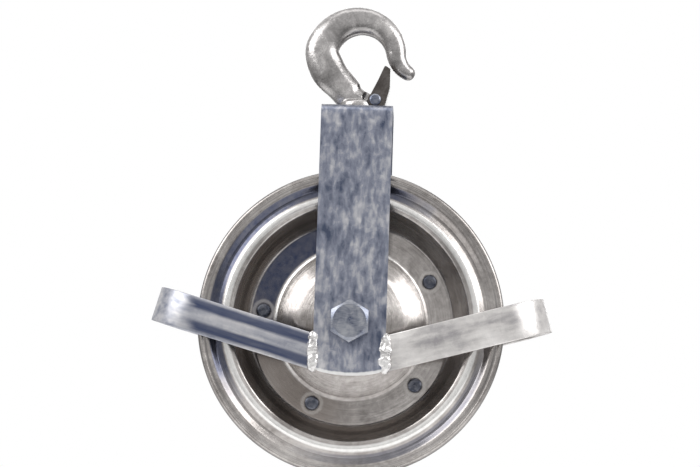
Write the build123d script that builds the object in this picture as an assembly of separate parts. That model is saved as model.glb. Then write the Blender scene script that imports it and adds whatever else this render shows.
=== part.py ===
from build123d import *
import math
import os

# Rope pulley on a flat-bar yoke, hanging from a forged swivel hook. Millimetres.
# The origin is the saddle of the hook, where the load line bears inside the top of its bowl.
# X runs to the hook's open side, -Y is the front with the head of the axle bolt, Z is up.

# Fits and gaps
RUN_FIT = 0.05        # radial clearance of a running fit
SEAT_FIT = 0.02       # radial clearance of a fixed fit
FACE_GAP = 0.3        # gap between faces of two bodies that turn on each other

# Hook: the bowl is a ring that thickens towards the back, with a leaning neck below
BOWL_R = 16.0         # inside radius of the bowl
BOWL_X = 1.5          # bowl's centre, from the shank's axis
BOWL_START = 8.0      # angle where the bowl begins, at the tip
BOWL_END = 165.0      # angle where the bowl runs into the neck
BOWL_STATIONS = 9     # sections round the bowl
ARM_WIDTH = 13.7      # width of the ring at the tip's end
BACK_WIDTH = 22.8     # width of the ring at the neck's end
ARM_DEPTH = 12.5      # depth of the ring at the tip's end, along Y
BACK_DEPTH = 17.0     # depth of the ring at the neck's end, along Y
TIP_REACH = 15.0      # how far the tip runs on past the bowl, to the middle of its round end
TIP_FLARE = 52.0      # degrees that the tip turns outward on that way
TIP_STATIONS = 3      # sections along the flared tip
TIP_WIDTH = 10.0
TIP_DEPTH = 9.5
TIP_ROUNDING = (75, 50, 25, 0)  # degrees round the tip's end at its sections
HEEL_X = -21.3        # widest place of the hook's back, below the bowl
HEEL_Z = -23.5
HEEL_WIDTH = 24.2
HEEL_LEAN = 14.0      # degrees from the vertical
NECK_X = -10.4        # middle of the neck
NECK_Z = -36.0
NECK_WIDTH = 21.4
NECK_LEAN = 43.0      # degrees from the vertical
NECK_RUN = 30.0       # straight end of the neck, before its foot is cut flat
BOSS_R = 12.5         # round bearing boss under the neck
BOSS_H = 5.0
SHANK_D = 16.0        # shank through the yoke's bridge
SHANK_PAST_NUT = 4.0
HOOK_DROP = 50.2      # from the saddle down to the foot of the boss
TRIM = 100.0          # size of the blocks that trim the hook, larger than the hook

# Latch and its pin, seen along Y
LATCH_PIVOT_X = 11.2
LATCH_PIVOT_UP = 5.7  # pivot's height over the foot of the boss
LATCH_SHEET = 1.2
LATCH_INSIDE = 14.0   # width between the latch's cheeks
LATCH_EYE_R = 4.9     # round of the cheeks about the pin
LATCH_TOP_W = 3.6     # width of the cheeks at the top
LATCH_BACK_X = 20.6   # outside of the latch's back
LATCH_REACH = 22.0    # from the pin up to the top of the latch
LUG_THICKNESS = 6.0   # flat lug of the hook between the latch's cheeks
LUG_R = 5.2
PIN_D = 5.0
PIN_HEAD_R = 4.0
PIN_HEAD_H = 1.8
SPRING_WIRE = 0.9
SPRING_TURNS = 2.5
SPRING_TAIL = 3.0

# Yoke: one flat bar folded over the wheel
BAR_W = 45.0
BAR_T = 5.0
YOKE_INSIDE = 46.0    # between the legs
YOKE_BEND_R = 2.5     # inside radius of the two folds
LEG_BELOW_AXLE = 34.0
LEG_END_RISE = 3.0    # how much the leg's end is rounded
LEG_CORNER_R = 5.0
BRIDGE_TO_RIM = 42.0  # from the top of the bridge down to the wheel's rim

# Swivel fastening under the bridge
SWIVEL_WASHER_D = 34.0
SWIVEL_WASHER_T = 3.0
NUT_AF = 24.0
CASTLE_H = 19.0
CASTLE_CROWN_H = 6.0
CASTLE_CROWN_D = 22.0
CASTLE_SLOT_W = 4.4
COTTER_D = 4.0
COTTER_PAST_NUT = 1.8
COTTER_SPREAD = 5.0
COTTER_EYE_R = 3.4

# Rope guards: flat bar from the front leg round the rim to the rear leg
GUARD_W = 23.0
GUARD_T = 4.0
GUARD_RISE = 15.6     # degrees that a guard climbs outward
GUARD_PAST_RIM = 29.0  # from the wheel's rim out to a guard's outermost point
GUARD_ROOT_DROP = 20.0  # from the axle down to a guard's middle at the leg
GUARD_GAP = 1.6       # root gap that the weld bridges
WELD_LEG = 4.0        # reach of a weld bead to each side
WELD_RIPPLES = 8
WELD_UNEVEN = 0.14    # share by which the ripples differ in reach
WELD_FLATNESS = 0.55  # height of a ripple, as a share of its reach

# Axle
AXLE_D = 16.0
AXLE_HEAD_H = 10.0
AXLE_NUT_H = 13.0
AXLE_END_PAST_NUT = 5.0
WASHER_D = 30.0
WASHER_T = 3.0
LOCK_WASHER_D = 27.0
LOCK_WASHER_T = 3.5
LOCK_WASHER_SPLIT = 2.5
THRUST_D = 32.0
THRUST_T = 2.0

# Hub and bushes
HUB_OD = 28.0
HUB_ID = 22.0
FLANGE_D = 27.0
FLANGE_T = 1.7
BUSH_SPACE = 6.0      # between the inner ends of the two bushes

# Wheel: two pressed halves, back to back on the flat web
WHEEL_D = 200.0
SHEET = 2.0
RIM_Y = 16.6          # outside face of the rim's crown, from the wheel's middle plane
RIM_FALL = 2.0        # from the rim's crown back to its rolled edge
BEAD_R = 2.2          # rolled edge
RIM_TO_CROWN = 5.8    # from the wheel's edge in to the rim's crown
RIM_ROUND = 5.0       # rounding of the rim's crown
RIM_TO_VALLEY = 11.5  # from the wheel's edge in to the middle of the valley
VALLEY_DIP = 2.4      # depth of the valley below the raised ring
VALLEY_TO_CREST = 6.5
CREST_ROUND = 5.0     # rounding of the raised ring
CREST_Y = 15.0        # outside face of the raised ring
CREST_FALL = 1.5      # slope of the raised ring, down to the wall
CREST_RUN = 4.5       # from the raised ring's middle in to the top of the wall
WALL_RUN = 11.0       # from the top of the wall in to the web
WEB_W = 16.5          # width of the flat web
DOME_SHARE = 0.55     # place of the dome's knee, from its top to the web
DOME_KNEE = 0.72      # height of that knee, as a share of the dome's height
DOME_FLAT = 6.0       # flat round the hub tube
DOME_ROUND = 16.0     # rounding of the dome's knee
HUB_PAST_DOME = 2.0   # how far the hub tube stands out of the dome
RIVETS = 5
RIVET_D = 5.5
RIVET_HEAD_D = 9.5
RIVET_HEAD_H = 2.0
RIVET_DIMPLE_D = 3.0  # hollow in the middle of the rolled head
RIVET_DIMPLE_H = 1.2
RIVET_PHASE = 29.5

# Places worked out from the sizes above
rim_r = WHEEL_D / 2
bridge_top = -HOOK_DROP - FACE_GAP
bridge_under = bridge_top - BAR_T
axle_z = bridge_top - BRIDGE_TO_RIM - rim_r
guard_reach = rim_r + GUARD_PAST_RIM
leg_in = YOKE_INSIDE / 2
leg_out = leg_in + BAR_T
boss_top = -HOOK_DROP + BOSS_H
pivot_x = LATCH_PIVOT_X
pivot_z = -HOOK_DROP + LATCH_PIVOT_UP
cheek_in = LATCH_INSIDE / 2
cheek_out = cheek_in + LATCH_SHEET
washer_top = bridge_under - FACE_GAP
nut_top = washer_top - SWIVEL_WASHER_T
nut_foot = nut_top - CASTLE_H
cotter_z = nut_foot + CASTLE_CROWN_H / 2
shank_foot = nut_foot - SHANK_PAST_NUT
hub_half = leg_in - THRUST_T - FACE_GAP - FLANGE_T
dome_y = hub_half - HUB_PAST_DOME
valley_r = rim_r - RIM_TO_VALLEY
crest_r = valley_r - VALLEY_TO_CREST
wall_r = crest_r - CREST_RUN
web_out_r = wall_r - WALL_RUN
web_in_r = web_out_r - WEB_W
rivet_r = (web_in_r + web_out_r) / 2
axle_nut_y = leg_out + WASHER_T + LOCK_WASHER_T
axle_end_y = axle_nut_y + AXLE_NUT_H + AXLE_END_PAST_NUT


def cylinder_y(radius, y0, y1, x=0.0, z=0.0):
    """A cylinder along Y from y0 to y1."""
    return Pos(x, (y0 + y1) / 2, z) * Rot(90, 0, 0) * Cylinder(radius, abs(y1 - y0))


def cylinder_z(radius, z0, z1, x=0.0, y=0.0):
    """A cylinder along Z from z0 to z1."""
    return Pos(x, y, (z0 + z1) / 2) * Cylinder(radius, abs(z1 - z0))


def block(x0, x1, y0, y1, z0, z1):
    """A box between two corners."""
    centre = Pos((x0 + x1) / 2, (y0 + y1) / 2, (z0 + z1) / 2)
    return centre * Box(abs(x1 - x0), abs(y1 - y0), abs(z1 - z0))


def plate_y(outline, y0, y1):
    """A closed outline of (x, z) points, with the given thickness along Y."""
    face = make_face(Polyline(*[(x, y0, z) for x, z in outline], close=True))
    return extrude(face, amount=y1 - y0, dir=(0, 1, 0))


def hex_y(across_flats, y0, y1, bevel):
    """A hexagon along Y with two corners up and down, its corners bevelled at y1."""
    height = abs(y1 - y0)
    corner = across_flats / math.sqrt(3)
    prism = extrude(RegularPolygon(across_flats / 2, 6, major_radius=False, rotation=30), height)
    barrel = cylinder_z(corner, 0, height)
    barrel = chamfer(barrel.edges().group_by(Axis.Z)[-1], bevel, bevel * 2)
    return Pos(0, y0, 0) * Rot(math.copysign(90, y0 - y1), 0, 0) * (prism & barrel)


def hook_section(x, z, heading, width, depth):
    """One elliptical section of the hook, wider than deep, square to the bar's heading in degrees."""
    along = math.radians(heading)
    plane = Plane(origin=(x, 0, z), x_dir=(-math.sin(along), 0, math.cos(along)),
                  z_dir=(math.cos(along), 0, math.sin(along)))
    return plane * Ellipse(width / 2, depth / 2)


def bowl_section(share):
    """A section of the bowl, from 0 at the tip to 1 at the heel."""
    angle = BOWL_START + (BOWL_END - BOWL_START) * share
    width = ARM_WIDTH + (BACK_WIDTH - ARM_WIDTH) * share
    depth = ARM_DEPTH + (BACK_DEPTH - ARM_DEPTH) * share
    radius = BOWL_R + width / 2
    x = BOWL_X + radius * math.cos(math.radians(angle))
    z = radius * math.sin(math.radians(angle)) - BOWL_R
    return hook_section(x, z, angle + 90, width, depth)


def tip_section(share, past=0.0, size=1.0):
    """A section of the flared tip, from 0 at the bowl to 1 at the tip's round end, or past that end."""
    start = bowl_section(0).center()
    first = math.radians(BOWL_START - 90)
    heading = first + math.radians(TIP_FLARE) * share
    bend_r = TIP_REACH / math.radians(TIP_FLARE)
    x = start.X + bend_r * (math.sin(heading) - math.sin(first)) + past * math.cos(heading)
    z = start.Z + bend_r * (math.cos(first) - math.cos(heading)) + past * math.sin(heading)
    width = (ARM_WIDTH + (TIP_WIDTH - ARM_WIDTH) * share) * size
    depth = (ARM_DEPTH + (TIP_DEPTH - ARM_DEPTH) * share) * size
    return hook_section(x, z, math.degrees(heading) + 180, width, depth)


def hook_body():
    """The bent, tapering bar of the hook, from its round tip to the flat face of the boss."""
    end_sections = []
    for turn in TIP_ROUNDING:
        past = TIP_WIDTH / 2 * math.sin(math.radians(turn))
        end_sections.append(tip_section(1, past, math.cos(math.radians(turn))))
    sections = []
    for step in range(TIP_STATIONS):
        sections.append(tip_section(1 - step / TIP_STATIONS))
    for step in range(BOWL_STATIONS):
        sections.append(bowl_section(step / (BOWL_STATIONS - 1)))
    sections.append(hook_section(HEEL_X, HEEL_Z, HEEL_LEAN - 90, HEEL_WIDTH, BACK_DEPTH))
    neck_way = Vector(math.sin(math.radians(NECK_LEAN)), 0, -math.cos(math.radians(NECK_LEAN)))
    for run in (0, NECK_RUN / 2, NECK_RUN):
        at = Vector(NECK_X, 0, NECK_Z) + neck_way * run
        sections.append(hook_section(at.X, at.Z, NECK_LEAN - 90, NECK_WIDTH, BACK_DEPTH))
    bar = loft(sections) + loft(end_sections)
    bar -= block(-TRIM, TRIM, -TRIM, TRIM, -HOOK_DROP - TRIM, -HOOK_DROP)
    return bar - block(pivot_x, TRIM, -TRIM, TRIM, -HOOK_DROP - 1, pivot_z + LUG_R)


def latch_room():
    """Space beside the lug that the latch's cheeks and spring turn in."""
    swing_r = LATCH_EYE_R + 3.6
    low_r = LATCH_EYE_R + 0.5
    side_y = LUG_THICKNESS / 2
    room = None
    for side in (-1, 1):
        outer_y = side * (BACK_DEPTH + BOSS_R)
        low = cylinder_y(low_r, side * side_y, outer_y, pivot_x, pivot_z)
        high = cylinder_y(swing_r, side * side_y, outer_y, pivot_x, pivot_z)
        high &= block(pivot_x - swing_r, pivot_x + swing_r, -TRIM, TRIM, pivot_z, pivot_z + swing_r)
        room = low + high if room is None else room + low + high
    return room


def hook():
    """The forged hook: bowl, neck, boss, lug for the latch, and shank with its cotter hole."""
    body = hook_body()
    boss = cylinder_z(BOSS_R, -HOOK_DROP, boss_top)
    boss = fillet(boss.edges().group_by(Axis.Z)[-1], BOSS_H * 0.4)
    body = body + boss - latch_room()
    lug_half = LUG_THICKNESS / 2
    lug = cylinder_y(LUG_R, -lug_half, lug_half, pivot_x, pivot_z)
    lug += block(0, pivot_x + LUG_R * 0.8, -lug_half, lug_half, -HOOK_DROP, pivot_z)
    shank = cylinder_z(SHANK_D / 2, shank_foot, -HOOK_DROP)
    shank = chamfer(shank.edges().group_by(Axis.Z)[0], 1.5)
    body = body + lug + shank
    body -= cylinder_y(PIN_D / 2 + SEAT_FIT, -lug_half - 1, lug_half + 1, pivot_x, pivot_z)
    body -= cylinder_y(COTTER_D / 2 + SEAT_FIT, -SHANK_D, SHANK_D, 0, cotter_z)
    return body


def swivel_washer():
    """Flat washer that carries the yoke's bridge."""
    ring = cylinder_z(SWIVEL_WASHER_D / 2, washer_top - SWIVEL_WASHER_T, washer_top)
    ring = chamfer(ring.edges().group_by(Axis.Z)[-1], 0.5)
    return ring - cylinder_z(SHANK_D / 2 + SEAT_FIT, washer_top - SWIVEL_WASHER_T - 1, washer_top + 1)


def swivel_nut():
    """Castle nut: a hexagon with a slotted round crown below it."""
    body_foot = nut_foot + CASTLE_CROWN_H
    prism = extrude(Plane.XY.offset(body_foot) * RegularPolygon(NUT_AF / 2, 6, major_radius=False),
                    nut_top - body_foot)
    corner = NUT_AF / math.sqrt(3)
    barrel = cylinder_z(corner, body_foot, nut_top)
    barrel = chamfer(barrel.edges().group_by(Axis.Z)[-1], 1.2)
    nut = (prism & barrel) + cylinder_z(CASTLE_CROWN_D / 2, nut_foot, body_foot)
    for turn in (30, 90, 150):
        slot = Box(NUT_AF * 1.5, CASTLE_SLOT_W, CASTLE_CROWN_H - 0.8)
        nut -= Pos(0, 0, nut_foot + (CASTLE_CROWN_H - 0.8) / 2) * Rot(0, 0, turn) * slot
    return nut - cylinder_z(SHANK_D / 2 + SEAT_FIT, nut_foot - 1, nut_top + 1)


def cotter_pin():
    """Split pin through the nut's slots, with an eye at the front and legs spread at the rear."""
    half = NUT_AF / 2
    bend_y = half + COTTER_PAST_NUT
    shaft = cylinder_y(COTTER_D / 2, -half, half, 0, cotter_z)
    shaft -= block(-COTTER_D, COTTER_D, half - 2, half + 1, cotter_z - 0.15, cotter_z + 0.15)
    pin = shaft + Pos(0, -half - COTTER_EYE_R, cotter_z) * Rot(0, 90, 0) * Torus(COTTER_EYE_R, COTTER_D * 0.28)
    for side in (-1, 1):
        start = (0, half - 0.5, cotter_z + side * COTTER_D * 0.25)
        bend = (0, bend_y, cotter_z + side * COTTER_D * 0.25)
        end = (0, bend_y + COTTER_PAST_NUT, cotter_z + side * COTTER_SPREAD)
        path = FilletPolyline(start, bend, end, radius=1.0)
        pin += sweep(Plane(origin=path @ 0, z_dir=path % 0) * Circle(COTTER_D * 0.24), path=path)
    return pin


def latch_pin():
    """Rivet through the hook's lug, with a round head outside each cheek."""
    face = cheek_out + FACE_GAP * 0.7
    pin = cylinder_y(PIN_D / 2, -face - 0.5, face + 0.5, pivot_x, pivot_z)
    for side in (-1, 1):
        head = cylinder_y(PIN_HEAD_R, side * face, side * (face + PIN_HEAD_H), pivot_x, pivot_z)
        outer = head.edges().group_by(Axis.Y)[0 if side < 0 else -1]
        pin += fillet(outer, PIN_HEAD_H * 0.85)
    return pin


def latch_outline(inset):
    """The latch seen from the front, with its back moved in by the given inset."""
    top = pivot_z + LATCH_REACH
    back = LATCH_BACK_X - inset
    return [(pivot_x + 6.6 - inset, pivot_z - LATCH_EYE_R * 0.7), (back, pivot_z + 8.0),
            (back, top - 1.2), (back - LATCH_TOP_W, top + 1.2), (pivot_x + 1.6, pivot_z + 13.4),
            (pivot_x - LATCH_EYE_R, pivot_z), (pivot_x, pivot_z - LATCH_EYE_R)]


def latch():
    """Folded sheet-metal channel: two cheeks on the pin, and a back that closes the mouth."""
    outside = plate_y(latch_outline(0), -cheek_out, cheek_out)
    outside = fillet(outside.edges().filter_by(Axis.Y).group_by(Axis.Z)[-1], 1.0)
    outside += cylinder_y(LATCH_EYE_R, -cheek_out, cheek_out, pivot_x, pivot_z)
    pocket = plate_y(latch_outline(LATCH_SHEET), -cheek_in, cheek_in)
    pocket += Pos(-LATCH_BACK_X / 2, 0, 0) * pocket
    pocket += Pos(-LATCH_SHEET, 0, -LATCH_SHEET * 4) * pocket
    shell = outside - pocket - cylinder_y(LATCH_EYE_R + 0.1, -cheek_in, cheek_in, pivot_x, pivot_z)
    return shell - cylinder_y(PIN_D / 2 + RUN_FIT, -cheek_out - 1, cheek_out + 1, pivot_x, pivot_z)


def latch_spring():
    """Torsion spring round the pin, between the lug and the rear cheek, with a leg up the back."""
    pitch = SPRING_WIRE * 1.06
    mean_r = PIN_D / 2 + SPRING_WIRE / 2 + FACE_GAP
    length = pitch * SPRING_TURNS
    start_y = (LUG_THICKNESS / 2 + cheek_in - length) / 2
    frame = Plane(origin=(pivot_x, start_y, pivot_z), x_dir=(1, 0, 0), z_dir=(0, 1, 0))
    coil = frame * Helix(pitch, length, mean_r)
    back_x = LATCH_BACK_X - LATCH_SHEET - SPRING_WIRE / 2 - SEAT_FIT
    knee = (coil @ 0) + Vector(0, 0, SPRING_TAIL)
    top = Vector(back_x, knee.Y, pivot_z + LATCH_REACH * 0.6)
    leg = FilletPolyline(coil @ 0, knee, top, radius=SPRING_WIRE * 2)
    tail = Line(coil @ 1, (coil @ 1) + (coil % 1) * SPRING_TAIL)
    wires = []
    for path in (coil, leg, tail):
        wires.append(sweep(Plane(origin=path @ 0, z_dir=path % 0) * Circle(SPRING_WIRE / 2), path=path))
    for end in (coil @ 0, coil @ 1):
        wires.append(Pos(*end) * Sphere(SPRING_WIRE * 0.56))
    return Part() + wires


def yoke():
    """Flat bar folded to an upside-down U, with the swivel hole and the axle holes."""
    foot = axle_z - LEG_BELOW_AXLE
    outer_r = YOKE_BEND_R + BAR_T
    outer = Plane.YZ * Pos(0, (foot + bridge_top) / 2) * Rectangle(leg_out * 2, bridge_top - foot)
    outer = fillet(outer.vertices().group_by(Axis.Z)[-1], outer_r)
    inner = Plane.YZ * Pos(0, (foot + bridge_under) / 2) * Rectangle(leg_in * 2, bridge_under - foot)
    inner = fillet(inner.vertices().group_by(Axis.Z)[-1], YOKE_BEND_R)
    half = BAR_W / 2
    bar = extrude(outer, half, both=True) - extrude(inner, half + 1, both=True)
    side_foot = foot + LEG_END_RISE
    edge = [Line((-half, 0, side_foot), (-half, 0, bridge_top + 1)),
            Line((-half, 0, bridge_top + 1), (half, 0, bridge_top + 1)),
            Line((half, 0, bridge_top + 1), (half, 0, side_foot)),
            ThreePointArc((half, 0, side_foot), (0, 0, foot), (-half, 0, side_foot))]
    mask = extrude(make_face(edge), leg_out + 1, both=True)
    mask = fillet(mask.edges().filter_by(Axis.Y).group_by(Axis.Z)[0], LEG_CORNER_R)
    bar &= mask
    bar -= cylinder_z(SHANK_D / 2 + RUN_FIT, bridge_under - 1, bridge_top + 1)
    return bar - cylinder_y(AXLE_D / 2 + SEAT_FIT, -leg_out - 1, leg_out + 1, 0, axle_z)


def guard_frame(side):
    """Plane of a guard's run: origin at its root, x outward and climbing, y along the part's Y."""
    rise = math.radians(GUARD_RISE)
    return Plane(origin=(side * (BAR_W / 2 + GUARD_GAP), 0, axle_z - GUARD_ROOT_DROP),
                 x_dir=(side * math.cos(rise), 0, math.sin(rise)),
                 z_dir=(-math.sin(rise), 0, side * math.cos(rise)))


def rope_guard(side):
    """Flat bar from the front leg out, round the rim in a half circle, and back to the rear leg."""
    rise = math.radians(GUARD_RISE)
    run = (guard_reach - BAR_W / 2 - GUARD_GAP) / math.cos(rise)
    out_r = leg_in + GUARD_T
    straight = run - out_r
    root = -GUARD_W
    shell = Pos((root + straight) / 2, 0) * Rectangle(straight - root, out_r * 2) + Pos(straight, 0) * Circle(out_r)
    shell -= Pos((root + straight) / 2 - 1, 0) * Rectangle(straight - root + 2, leg_in * 2)
    shell -= Pos(straight, 0) * Circle(leg_in)
    strap = extrude(guard_frame(side) * shell, GUARD_W / 2, both=True)
    edge = BAR_W / 2 + GUARD_GAP
    keep = block(side * edge, side * guard_reach * 2, -leg_out, leg_out, axle_z - rim_r, axle_z + rim_r)
    strap = strap & keep
    flats = strap.edges().filter_by(GeomType.LINE).filter_by(lambda e: e.length > straight * 0.7)
    return fillet(flats, 0.8)


def weld_bead(side, face):
    """A row of overlapping weld ripples down the joint of one guard with one leg."""
    height = GUARD_W / math.cos(math.radians(GUARD_RISE))
    pitch = height / WELD_RIPPLES
    x = side * (BAR_W + GUARD_GAP) / 2
    y = face * (leg_in + GUARD_T)
    first_z = axle_z - GUARD_ROOT_DROP - height / 2 + pitch / 2
    bead = None
    for step in range(WELD_RIPPLES):
        reach = WELD_LEG * (1.0 + WELD_UNEVEN * math.sin(2.4 * step + side + 2 * face))
        drop = scale(Sphere(1.0), by=(reach, WELD_LEG * WELD_FLATNESS, pitch))
        drop = Pos(x, y, first_z + step * pitch) * drop
        bead = drop if bead is None else bead + drop
    return bead - yoke() - rope_guard(side)


def axle_bolt():
    """Hexagon bolt from the front leg through the hub to the rear leg."""
    head = Pos(0, 0, axle_z) * hex_y(NUT_AF, -leg_out, -leg_out - AXLE_HEAD_H, 1.6)
    shank = cylinder_y(AXLE_D / 2, -leg_out, axle_end_y, 0, axle_z)
    shank = chamfer(shank.edges().group_by(Axis.Y)[-1], 1.5)
    return head + shank


def ring_y(outer_d, inner_r, y0, y1):
    """A flat ring on the axle."""
    return cylinder_y(outer_d / 2, y0, y1, 0, axle_z) - cylinder_y(inner_r, y0 - 1, y1 + 1, 0, axle_z)


def axle_washer():
    """Flat washer behind the rear leg."""
    return ring_y(WASHER_D, AXLE_D / 2 + SEAT_FIT, leg_out, leg_out + WASHER_T)


def lock_washer():
    """Split spring washer under the axle nut."""
    y0 = leg_out + WASHER_T
    ring = ring_y(LOCK_WASHER_D, AXLE_D / 2 + SEAT_FIT, y0, y0 + LOCK_WASHER_T)
    split = Box(LOCK_WASHER_SPLIT, LOCK_WASHER_T * 3, LOCK_WASHER_D)
    middle = Pos(0, y0 + LOCK_WASHER_T / 2, axle_z + LOCK_WASHER_D / 2)
    return ring - middle * Rot(0, 0, 25) * split


def axle_nut():
    """Hexagon nut on the rear end of the axle bolt."""
    nut = Pos(0, 0, axle_z) * hex_y(NUT_AF, axle_nut_y, axle_nut_y + AXLE_NUT_H, 1.6)
    return nut - cylinder_y(AXLE_D / 2 + SEAT_FIT, axle_nut_y - 1, axle_nut_y + AXLE_NUT_H + 1, 0, axle_z)


def thrust_washer(face):
    """Washer between one leg and the hub's bush, seated on the leg."""
    y0, y1 = sorted((face * leg_in, face * (leg_in - THRUST_T)))
    return ring_y(THRUST_D, AXLE_D / 2 + SEAT_FIT, y0, y1)


def wheel_half(face):
    """One pressed half: dished hub, flat web, stepped wall, raised ring, and rim with a rolled edge."""
    bead_centre = rim_r - BEAD_R
    dome_top_r = HUB_OD / 2 + DOME_FLAT
    dome_run = web_in_r - dome_top_r
    corners = [(HUB_OD / 2 + SEAT_FIT, dome_y), (dome_top_r, dome_y),
               (dome_top_r + dome_run * DOME_SHARE, dome_y * DOME_KNEE),
               (web_in_r, SHEET), (web_out_r, SHEET),
               (wall_r, CREST_Y - CREST_FALL), (crest_r, CREST_Y), (valley_r, CREST_Y - VALLEY_DIP),
               (rim_r - RIM_TO_CROWN, RIM_Y), (bead_centre, RIM_Y - RIM_FALL)]
    radii = [SHEET * 1.5, min(DOME_ROUND, dome_run / 2), SHEET * 2.5, SHEET * 2, SHEET * 1.5,
             CREST_ROUND, SHEET * 1.5, RIM_ROUND]
    outline = FilletPolyline(*corners, radius=radii)
    sheet = make_face(offset(outline, SHEET, side=Side.RIGHT))
    sheet += Pos(bead_centre, RIM_Y - RIM_FALL - SHEET / 2) * Circle(BEAD_R)
    half = revolve(Plane.XY * sheet, Axis.Y)
    for turn in range(RIVETS):
        angle = math.radians(RIVET_PHASE + turn * 360 / RIVETS)
        half -= cylinder_y(RIVET_D / 2 + SEAT_FIT, -1, SHEET + 1,
                           rivet_r * math.cos(angle), rivet_r * math.sin(angle))
    if face < 0:
        half = mirror(half, Plane.XZ)
    return Pos(0, 0, axle_z) * half


def web_rivets():
    """The rivets that clamp the two halves together at the web, as separate solids."""
    rivets = []
    for turn in range(RIVETS):
        angle = math.radians(RIVET_PHASE + turn * 360 / RIVETS)
        x = rivet_r * math.cos(angle)
        z = axle_z + rivet_r * math.sin(angle)
        rivet = cylinder_y(RIVET_D / 2, -SHEET - 0.5, SHEET + 0.5, x, z)
        for side in (-1, 1):
            head = cylinder_y(RIVET_HEAD_D / 2, side * SHEET, side * (SHEET + RIVET_HEAD_H), x, z)
            outer = head.edges().group_by(Axis.Y)[0 if side < 0 else -1]
            rivet += fillet(outer, RIVET_HEAD_H * 0.8)
            top = SHEET + RIVET_HEAD_H
            rivet -= cylinder_y(RIVET_DIMPLE_D / 2, side * (top - RIVET_DIMPLE_H), side * (top + 1), x, z)
        rivets.append(rivet)
    return Compound(children=rivets)


def hub_tube():
    """Tube between the two dished hubs, which holds the bushes."""
    return ring_y(HUB_OD, HUB_ID / 2, -hub_half, hub_half)


def bush(face):
    """Flanged bush in one end of the hub tube."""
    start, end = face * (hub_half + FLANGE_T), face * hub_half
    flange = cylinder_y(FLANGE_D / 2, start, end, 0, axle_z)
    body = cylinder_y(HUB_ID / 2 - SEAT_FIT, end, face * BUSH_SPACE / 2, 0, axle_z)
    inside = cylinder_y(AXLE_D / 2 + RUN_FIT, -leg_out, leg_out, 0, axle_z)
    return flange + body - inside


NODES = {
    "hook": hook, "swivel_washer": swivel_washer, "swivel_nut": swivel_nut,
    "cotter_pin": cotter_pin, "latch_pin": latch_pin, "latch": latch, "latch_spring": latch_spring,
    "yoke": yoke, "rope_guard_left": lambda: rope_guard(-1), "rope_guard_right": lambda: rope_guard(1),
    "weld_front_left": lambda: weld_bead(-1, -1), "weld_front_right": lambda: weld_bead(1, -1),
    "weld_rear_left": lambda: weld_bead(-1, 1), "weld_rear_right": lambda: weld_bead(1, 1),
    "axle_bolt": axle_bolt, "axle_washer": axle_washer, "lock_washer": lock_washer,
    "axle_nut": axle_nut, "thrust_washer_front": lambda: thrust_washer(-1),
    "thrust_washer_rear": lambda: thrust_washer(1), "wheel_half_front": lambda: wheel_half(-1),
    "wheel_half_rear": lambda: wheel_half(1), "web_rivets": web_rivets, "hub_tube": hub_tube,
    "bush_front": lambda: bush(-1), "bush_rear": lambda: bush(1),
}

os.makedirs("parts", exist_ok=True)
for name, build in NODES.items():
    export_step(build(), f"parts/{name}.step")
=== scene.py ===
"""Rope pulley on a flat-bar yoke, hung from a forged swivel hook: finishes, pieces and studio.

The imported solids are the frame. Each sub-assembly is a class that holds its own sizes in metres,
dresses the solids that it keeps, and builds a finer piece where a solid is too plain. The finishes
measure in millimetres from the part's origin.
"""
import logging
from dataclasses import dataclass, field
from enum import Enum
from math import asin, atan2, ceil, copysign, cos, degrees, hypot, pi, radians, sin, sqrt, tan
from typing import Any, Callable, Sequence, TypeAlias

import bmesh
import bpy
from bmesh.types import BMesh
from bpy.types import Material, Mesh, NodeSocket, Object, World
from mathutils import Matrix, Vector, noise


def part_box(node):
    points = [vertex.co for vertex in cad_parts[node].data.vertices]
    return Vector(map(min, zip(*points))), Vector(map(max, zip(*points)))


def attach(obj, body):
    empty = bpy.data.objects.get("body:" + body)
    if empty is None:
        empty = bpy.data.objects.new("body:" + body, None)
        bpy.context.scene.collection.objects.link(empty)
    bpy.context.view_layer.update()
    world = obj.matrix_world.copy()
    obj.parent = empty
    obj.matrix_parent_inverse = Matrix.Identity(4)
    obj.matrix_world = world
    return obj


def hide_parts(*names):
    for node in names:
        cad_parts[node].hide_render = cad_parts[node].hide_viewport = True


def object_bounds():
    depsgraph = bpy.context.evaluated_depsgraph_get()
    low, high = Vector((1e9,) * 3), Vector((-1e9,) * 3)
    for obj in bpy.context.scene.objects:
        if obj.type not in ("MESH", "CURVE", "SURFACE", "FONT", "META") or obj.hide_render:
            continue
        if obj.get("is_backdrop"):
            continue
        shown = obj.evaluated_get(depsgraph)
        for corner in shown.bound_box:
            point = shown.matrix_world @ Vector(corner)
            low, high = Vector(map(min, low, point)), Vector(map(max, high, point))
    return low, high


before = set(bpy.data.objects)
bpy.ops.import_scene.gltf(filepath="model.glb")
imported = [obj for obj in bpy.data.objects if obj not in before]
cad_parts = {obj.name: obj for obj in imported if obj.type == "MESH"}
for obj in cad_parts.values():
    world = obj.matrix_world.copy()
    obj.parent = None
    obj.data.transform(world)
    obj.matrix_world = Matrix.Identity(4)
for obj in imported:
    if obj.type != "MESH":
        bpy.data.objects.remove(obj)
cad_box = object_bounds()

LOG = logging.getLogger("rope_pulley")
MM = 0.001
PHOTO_WIDTH = 700
PHOTO_HEIGHT = 467
WHITE = (1.0, 1.0, 1.0, 1.0)
NOISE_ROUGHNESS = 0.55
ARC_STEP = radians(6)  # turn between two points of a rounded corner
STRAIGHT = 1e-3        # half of the least turn that counts as a corner, in radians
SHARPEST = 0.3         # least cosine by which a corner's inset is divided

Pair = tuple[float, float]
Point = tuple[float, float, float]
Tone = tuple[float, float, float]
Operand: TypeAlias = "Sock | float | Point"


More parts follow.
